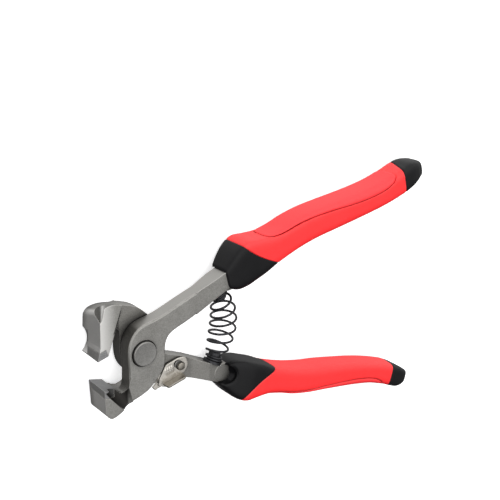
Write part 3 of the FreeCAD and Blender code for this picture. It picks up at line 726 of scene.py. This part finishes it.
def mouth_rule(out, up):
    """Straight across, but a circle's edge where the low side passes the shank's pad."""
    reach = np.sqrt(np.clip(BITE_RADIUS**2 - (out - BITE_AT[1]) ** 2, 0, None))
    low = np.clip((BITE_TOP - up) / 0.8, 0, 1)
    return STATIONS[0, 0] + low * (reach > 0) * (BITE_AT[0] - STATIONS[0, 0] + reach)


def cap_rule(side):
    """The cap's seam leans the other way on the lower grip, which is turned over."""
    def rule(out, up):
        return CAP_SEAM - side * CAP_LEAN * up
    return rule


def between(start, stop, rows):
    """Stations in rows from start to stop, closer together near both seams."""
    v = np.linspace(0, 1, rows)[:, None]
    v = v - 0.10 * np.sin(2 * np.pi * v)
    return start + (stop - start) * v


def seam_dip(s, seam, depth=0.30, width=0.35):
    """How far a surface rolls down beside a seam: deepest on it, gone two widths away."""
    return -depth * np.exp(-((s - seam) / width) ** 2)


def with_returns(points, centre_first, centre_last):
    """Adds two rows inside each end, so that a piece ends in a wall and not in a bare edge."""
    first = centre_first + (points[0] - centre_first) * 0.72
    last = centre_last + (points[-1] - centre_last) * 0.72
    return np.concatenate([first[None], points, last[None]])


print("collar seam, inner to outer:", np.round(settle(collar_rule, 74.0, np.array([np.pi, 0.0]), 1), 1))

# %% [markdown]
# The palm pad is a separate softer inlay on the back of each grip, with a groove round it. The groove is a closed
# line in station and angle. The shell sinks under the pad, and both surfaces roll down into the groove.

# %% Pad outline
# station in mm, and half the pad's width there in degrees round the section
PAD_HALF_ANGLE = np.array([
    (81.5, 0), (82.6, 18), (85.0, 33), (89.0, 43), (97.0, 51), (110.0, 60), (122.0, 68), (136.0, 78),
    (147.0, 82), (157.0, 82.5), (164.0, 79), (168.5, 67), (171.2, 38), (172.3, 0),
], float)
PAD_SPAN = PAD_HALF_ANGLE[[0, -1], 0]


def pad_line(count=420):
    """The groove as stations and angles, once round: out along one side and back along the other."""
    f = 0.5 - 0.5 * np.cos(np.linspace(0, np.pi, count // 2))
    s = PAD_SPAN[0] + (PAD_SPAN[1] - PAD_SPAN[0]) * f
    a = np.radians(np.interp(s, PAD_HALF_ANGLE[:, 0], PAD_HALF_ANGLE[:, 1]))
    kernel = np.ones(9) / 9
    a = np.convolve(np.pad(a, 4, mode="reflect", reflect_type="odd"), kernel, mode="valid")
    a[0] = a[-1] = 0.0
    return np.concatenate([s, s[-2:0:-1]]), np.concatenate([a, -a[-2:0:-1]])


def distance_to(line, points):
    """Each point's distance in mm to the nearest of the line's points."""
    flat = points.reshape(-1, 3)
    chunks = np.array_split(flat, 40)
    nearest = [np.sqrt(((chunk[:, None, :] - line[None]) ** 2).sum(-1).min(1)) for chunk in chunks]
    return np.concatenate(nearest).reshape(points.shape[:-1]) / MM


PAD_S, PAD_A = pad_line()
print("pad groove points:", len(PAD_S))

# %% [markdown]
# With the seams known, each grip is four grids on the same surface: collar, red shell, end cap and palm pad.
# Separate pieces keep a real seam between the colours, which one mesh with four materials would only paint.

# %% Make the four moulded pieces of each grip
CORES = ((62.0, 15.0, 2.0), (120.0, 16.0, 0.0), (184.0, 14.6, 0.0))     # a point inside collar, shell and cap
PAD_MIDDLE = 124.0
# the pad's rim lies PAD_SINK deep, rises by PAD_SWELL within PAD_FOOT of the groove, and ends PAD_FOOT deep
PAD_SINK, PAD_SWELL, PAD_FOOT = 0.65, 0.85, 1.1
SHELL_UNDER_PAD, GROOVE_DEPTH, GROOVE_WIDTH = 0.8, 0.55, 0.45


def make_grip(side, word, body):
    """The four pieces of one grip, by the last word of the node that each one replaces."""
    groove = grip_point(PAD_S, PAD_A, side)
    a = ANGLES[None]
    mouth, seam = settle(mouth_rule, 56.0, a, side), settle(collar_rule, 74.0, a, side)
    cap = settle(cap_rule(side), 180.0, a, side)
    core = [place_grip(np.array(s), out, up, side) for s, out, up in CORES]

    s = between(mouth, seam, 72)
    lift = seam_dip(s, seam) + seam_dip(s, mouth, 0.5, 0.5)
    collar = grip_point(s, np.broadcast_to(ANGLES, s.shape), side, lift)
    collar = with_returns(collar, core[0], core[0])
    made = {"collar": grid_piece(word + "_collar_shell", collar, body, BLACK_SHELL)}

    s = between(seam, cap, 260)
    angles = np.broadcast_to(ANGLES, s.shape)
    away = distance_to(groove, grip_point(s, angles, side))
    half = np.radians(np.interp(s, PAD_HALF_ANGLE[:, 0], PAD_HALF_ANGLE[:, 1], left=-1, right=-1))
    turn = np.abs((angles + np.pi) % (2 * np.pi) - np.pi)
    under = (turn < half) * SHELL_UNDER_PAD
    sunk = np.maximum(under, GROOVE_DEPTH * np.exp(-(away / GROOVE_WIDTH) ** 2))
    lift = seam_dip(s, seam) + seam_dip(s, cap) - sunk
    shell = with_returns(grip_point(s, angles, side, lift), core[1], core[1])
    made["body"] = grid_piece(word + "_grip_shell", shell, body, RED_SHELL, sharp_deg=60.0)

    v = np.linspace(0, 1, 64)[:, None]
    s = cap + (STATIONS[-1, 0] - cap) * np.sin(0.5 * np.pi * v) ** 0.9
    shell = grip_point(s, np.broadcast_to(ANGLES, s.shape), side, seam_dip(s, cap))
    shell = with_returns(shell, core[2], core[2])[:-1]
    made["end_cap"] = grid_piece(word + "_end_cap_shell", shell, body, BLACK_SHELL)

    ring = 1 - (1 - np.linspace(0.02, 1, 70)[:, None]) ** 1.8
    s = PAD_MIDDLE + (PAD_S[None] - PAD_MIDDLE) * ring
    angles = PAD_A[None] * ring
    rise = np.clip(distance_to(groove, grip_point(s, angles, side)) / PAD_FOOT, 0, 1)
    lift = -PAD_SINK + PAD_SWELL * np.sqrt(1 - (1 - rise) ** 2)
    top = grip_point(s, angles, side, lift)
    under = grip_point(s[::-1], angles[::-1], side, -PAD_FOOT)
    made["pad"] = grid_piece(word + "_palm_pad", np.concatenate([top, under]), body, RED_PAD)
    return made


for side, word, body in ((1, "upper", "front"), (-1, "lower", "rear")):
    for part, piece in make_grip(side, word, body).items():
        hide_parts(f"{word}_grip_{part}")

# %% [markdown]
# ## The return spring
# The coil is a wire carried along a path: closed turns grip a peg at each end, and between them open turns swell
# to a barrel whose middle bows away from the pivot. The path is a point going round a moving centre. A tube
# round it needs a cross-section at each step that doesn't twist, and the direction from the centre gives one.

# %% Coil path and tube
PEG = np.array([44.9, 20.5, 2.0])
PEG_TILT = math.radians(26.5)
WIRE, MID_COIL, END_COIL = 0.6, 6.7, 4.0
OPEN_TURNS, SHUT_TURNS = 6.5, 1.5
SHUT_PITCH = 2 * WIRE * 1.06


def coil_centre(turn):
    """Centre, heading and coil radius, in mm, after so many turns: straight on each peg, and between them a
    cubic Bezier curve whose ends leave along the pegs, with a radius that swells as a power of a sine."""
    out_top = np.array([math.sin(PEG_TILT), -math.cos(PEG_TILT), 0.0])
    out_low = out_top * (1, -1, 1)
    top = PEG + out_top * (1.2 + WIRE + 0.05)
    low = top * (1, -1, -1)
    shut = SHUT_PITCH * SHUT_TURNS
    total = OPEN_TURNS + 2 * SHUT_TURNS
    p0, p3 = top + out_top * shut, low + out_low * shut
    reach = np.linalg.norm(p0 - p3) * 0.34
    p1, p2 = p0 + out_top * reach, p3 + out_low * reach
    f = np.clip((turn - SHUT_TURNS) / OPEN_TURNS, 0, 1)[:, None]
    g = 1 - f
    centre = p0 * g**3 + p1 * 3 * f * g * g + p2 * 3 * f * f * g + p3 * f**3
    heading = (p1 - p0) * g * g + (p2 - p1) * 2 * f * g + (p3 - p2) * f * f
    centre = centre - out_top * SHUT_PITCH * np.clip(SHUT_TURNS - turn, 0, None)[:, None]
    centre = centre - out_low * SHUT_PITCH * np.clip(turn - (total - SHUT_TURNS), 0, None)[:, None]
    swell = np.sin(np.pi * f[:, 0]) ** 0.6
    heading /= np.linalg.norm(heading, axis=1)[:, None]
    return centre, heading, END_COIL + (MID_COIL - END_COIL) * swell, p0, p3


turns = np.linspace(0, OPEN_TURNS + 2 * SHUT_TURNS, 640)
centre, heading, radius, top_of_coil, foot_of_coil = coil_centre(turns)
sideways = np.cross(heading, [0.0, 0.0, 1.0])
sideways /= np.linalg.norm(sideways, axis=1)[:, None]
angle = 2 * np.pi * turns[:, None]
wire_line = centre + radius[:, None] * (np.array([0.0, 0.0, 1.0]) * np.sin(angle) - sideways * np.cos(angle))
tangent = np.gradient(wire_line, axis=0)
tangent /= np.linalg.norm(tangent, axis=1)[:, None]
outward = wire_line - centre
outward -= (outward * tangent).sum(1)[:, None] * tangent
outward /= np.linalg.norm(outward, axis=1)[:, None]
third = np.cross(tangent, outward)
around = np.linspace(0, 2 * np.pi, 14, endpoint=False)[None, :, None]
tube = wire_line[:, None] + WIRE * (outward[:, None] * np.cos(around) + third[:, None] * np.sin(around))
spring = grid_piece("return_coil", tube * MM + PIVOT, None, BLACK_WIRE)
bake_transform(spring)
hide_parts("return_spring")
print("wire length, mm:", round(float(np.linalg.norm(np.diff(wire_line, axis=0), axis=1).sum()), 1))

# %% [markdown]
# ## The pivot pin and the rivet
# Both are turned, so each is a profile carried round its axis. The profile runs from the foot's centre up the
# side and over the head, with small steps where the lathe broke the corners.

# %% Turned pieces
def turned_piece(name, at, profile, body, finish, count=96):
    """A profile of (radius, height) in mm carried round the axis through at: x is the radius times the cosine
    of the turn, y the radius times its sine."""
    profile = np.array(profile, float)
    turn = np.linspace(0, 2 * np.pi, count, endpoint=False)
    ring = np.stack([np.cos(turn), np.sin(turn), np.zeros(count)], axis=-1)
    points = profile[:, :1, None] * ring[None] + profile[:, 1:, None] * np.array([0.0, 0.0, 1.0])
    return grid_piece(name, points * MM + np.array(at), body, finish, sharp_deg=35.0)


def rounded_rim(radius, height, break_mm, steps=6):
    """Points of a quarter circle that takes a corner from the side to the top."""
    turn = np.linspace(0, np.pi / 2, steps)
    return np.stack([radius - break_mm * (1 - np.cos(turn)), height - break_mm * (1 - np.sin(turn))], axis=-1)


pin_profile = np.vstack([[(0.3, -9.20), (3.9, -9.25), (4.3, -9.15), (4.5, -8.9), (4.5, 7.10), (6.16, 7.10)],
                         rounded_rim(6.18, 9.22, 0.5), [(5.4, 9.20), (3.6, 9.17), (1.8, 9.155), (0.3, 9.15)]])
pin = turned_piece("pivot_pin_turned", PIVOT, pin_profile, "rear", TURNED)
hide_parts("pivot_pin")

rivet_at = np.array([RIVET[0], RIVET[1], PIVOT[2]])
rivet_profile = np.vstack([[(0.2, -9.24), (1.9, -9.24), (2.05, -9.1), (1.6, -9.02), (1.6, 1.36), (2.05, 1.36)],
                           rounded_rim(2.1, 2.0, 0.45), [(1.3, 2.1), (0.7, 2.15), (0.2, 2.16)]])
rivet = turned_piece("latch_rivet_turned", rivet_at, rivet_profile, "rear", SHADED_NICKEL, 56)
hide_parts("lock_rivet")

# %% [markdown]
# ## The latch
# The latch is stamped from strip and bent: an ear on each side of the shank, a thumb flange that stands up
# from the near ear's edge, and a web under the shank that joins the ears. Each leaf is a flat plate with soft
# edges. A plate is a band between an inner outline and an outer one, carried over its top, its rim and its
# underside.

# %% Plates
def soft_outline(corners, blur, count=144):
    """A polygon sampled evenly and then averaged along its length, which rounds its corners."""
    loop = np.vstack([corners, corners[:1]]).astype(float)
    lengths = np.concatenate([[0], np.cumsum(np.linalg.norm(np.diff(loop, axis=0), axis=1))])
    even = np.linspace(0, lengths[-1], 720, endpoint=False)
    points = np.stack([np.interp(even, lengths, loop[:, k]) for k in (0, 1)], axis=-1)
    width = max(3, int(blur / lengths[-1] * 720)) | 1
    padded = np.vstack([points[-width:], points, points[:width]])
    kernel = np.ones(width) / width
    points = np.stack([np.convolve(padded[:, k], kernel, mode="same")[width:-width] for k in (0, 1)], axis=-1)
    return points[:: 720 // count]


def plate_points(inner, outer, thick, relief=None, edge=0.22):
    """Flat plate in its own plane, from 0 to thick: rows cross the top from inner to outer, round the rim
    and come back underneath. Relief adds to the top's height at each point."""
    gap = np.linalg.norm(outer - inner, axis=1)[:, None]
    across = np.linspace(0, 1, 26)[:, None, None]
    shy = np.minimum(edge / np.maximum(gap, 1e-6), 0.45)
    flat = inner + (outer - inner) * (shy + (1 - 2 * shy) * across)
    top = np.concatenate([flat, np.full(flat.shape[:2] + (1,), thick)], axis=-1)
    if relief is not None:
        top[..., 2] += relief(flat[..., 0], flat[..., 1])
    under = np.concatenate([flat[::-1], np.zeros(flat.shape[:2] + (1,))], axis=-1)
    one, soft = np.ones_like(shy), 0.3
    near, far, low, high = soft * shy, one - soft * shy, soft * edge, thick - soft * edge
    rows_out = [(far, high), (one, thick - edge), (one, edge), (far, low)]
    rows_in = [(near, low), (0 * one, edge), (0 * one, thick - edge), (near, high)]

    def band(rows):
        return np.stack([np.column_stack([inner + (outer - inner) * w, np.full(len(inner), h)]) for w, h in rows])

    return np.concatenate([top, band(rows_out), under, band(rows_in), top[:1]])


RIB_SLANT = math.radians(16)
RIB_PITCH, RIB_WIDTH, RIB_HEIGHT = 1.25, 0.34, 0.34


def ear_ribs(x, y):
    """Four low ribs pressed across the ear for the thumb, each a narrow bell along one direction."""
    c, n = math.cos(RIB_SLANT), math.sin(RIB_SLANT)
    along = (x + 6.2) * c + (y + 0.2) * n
    across = -(x + 6.2) * n + (y + 0.2) * c
    ribs = sum(np.exp(-((along - k * RIB_PITCH) / RIB_WIDTH) ** 2) for k in (-2, -1, 0, 1))
    return RIB_HEIGHT * ribs * np.clip(1.6 - np.abs(across) * 0.75, 0, 1)


print("plate helpers ready")

# %% [markdown]
# The six leaves of the latch follow, each laid out flat and then stood in its place from the rivet.

# %% Latch leaves
EAR_LOW, EAR_THICK = 0.3, 1.0


def latch_leaf(name, inner, outer, thick, right, up, origin, relief=None, finish=NICKEL):
    """A plate laid out from origin along right and up, with its thickness along their cross product."""
    flat = plate_points(inner, outer, thick, relief)
    right, up = np.array(right, float), np.array(up, float)
    right /= np.linalg.norm(right)
    up /= np.linalg.norm(up)
    points = flat[..., :1] * right + flat[..., 1:2] * up + flat[..., 2:] * np.cross(right, up)
    place = np.array([RIVET[0], RIVET[1], PIVOT[2]]) + np.array(origin) * MM
    return grid_piece(name, points * MM + place, "lock", finish, ends=False, sharp_deg=50.0)


def around_point(at, radius, outer, stretch=(0.0, 0.0)):
    """A hole's outline whose points face the outer outline's: a circle drawn out along stretch."""
    away = outer - np.array(at)
    away /= np.linalg.norm(away, axis=1)[:, None]
    stretch = np.array(stretch, float)
    reach = np.linalg.norm(stretch) or 1.0
    side = np.tanh(3.0 * (away @ stretch) / reach)[:, None]
    return np.array(at) + away * radius + side * stretch


FLAT = ((1, 0, 0), (0, 1, 0))       # right and up of a leaf square to the rivet
UP_ON_EDGE = (0, 0, 1)
PINPRICK = 0.05                     # a hole too small to see, so that a whole plate is a band as well

ear_outer = soft_outline(np.array([(-8.9, 2.9), (-1.2, 4.9), (3.0, 4.4), (4.2, 0.2), (2.2, -3.6),
                                   (-10.4, -6.6), (-12.8, -3.8), (-11.4, -2.0)]), 3.2)
ear_hole = around_point((-0.9, 0.9), 2.1, ear_outer, (1.1, -0.9))
leaf = latch_leaf("latch_near_ear", ear_hole, ear_outer, EAR_THICK, *FLAT, (0, 0, EAR_LOW), ear_ribs)
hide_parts("lock_lever")

flange_outer = soft_outline(np.array([(0, 0), (11.4, 0), (11.4, 4.2), (10.2, 5.4), (0.6, 5.4), (0, 4.8)]), 1.6)
latch_leaf("latch_flange", around_point((5.6, 2.6), PINPRICK, flange_outer), flange_outer, 1.1,
           (11.0, 2.9, 0), UP_ON_EDGE, (-10.4, -6.6, EAR_LOW), finish=SHADED_NICKEL)

web_outer = soft_outline(np.array([(0, 0), (5.0, 0), (5.0, 10.24), (0, 10.24)]), 1.2)
latch_leaf("latch_web", around_point((2.5, 5.1), PINPRICK, web_outer), web_outer, 1.1,
           (4.7, -1.8, 0), UP_ON_EDGE, (-12.6, -6.3, -9.0))

join_outer = soft_outline(np.array([(-12.4, -3.4), (-8.6, -4.6), (-7.6, -8.8), (-12.9, -7.4)]), 1.2)
latch_leaf("latch_join", around_point((-10.4, -6.0), PINPRICK, join_outer), join_outer, EAR_THICK - 0.06,
           *FLAT, (0, 0, EAR_LOW + 0.03))

far_outer = soft_outline(np.array([(-12.6, -7.4), (-7.7, -9.0), (2.6, -2.8),
                                   (3.0, 1.4), (-0.8, 3.0), (-3.4, 1.2)]), 2.4)
latch_leaf("latch_far_ear", around_point((0, 0), 1.72, far_outer), far_outer, 0.9, *FLAT, (0, 0, -9.0))

tongue_outer = soft_outline(np.array([(-9.9, -6.3), (-12.6, -6.2), (-15.1, -8.5),
                                      (-14.1, -10.1), (-9.8, -8.7)]), 1.0)
latch_leaf("latch_tongue", around_point((-12.4, -8.0), PINPRICK, tongue_outer), tongue_outer, 1.6,
           *FLAT, (0, 0, -2.2))

# %% [markdown]
# ## Finishes on the steel parts
# The forged halves, the carbide bars, the pegs and the washers keep their CAD shape. A material goes into each
# one's slot, and the bevel inside the edge effect rounds the light along its corners.

# %% Dress the CAD nodes
DRESS = {
    "front_arm": STEEL, "rear_arm": STEEL, "upper_carbide_tip": CARBIDE, "lower_carbide_tip": CARBIDE,
    "upper_braze": BRAZE, "lower_braze": BRAZE, "pivot_tail_ring": TURNED, "lap_washer": TURNED,
    "upper_spring_peg": BLACK_WIRE, "lower_spring_peg": BLACK_WIRE, "lock_washer": TURNED,
}
for name, finish in DRESS.items():
    frame["nodes"][name].data.materials.clear()
    frame["nodes"][name].data.materials.append(finish)
print("dressed", len(DRESS), "CAD nodes")
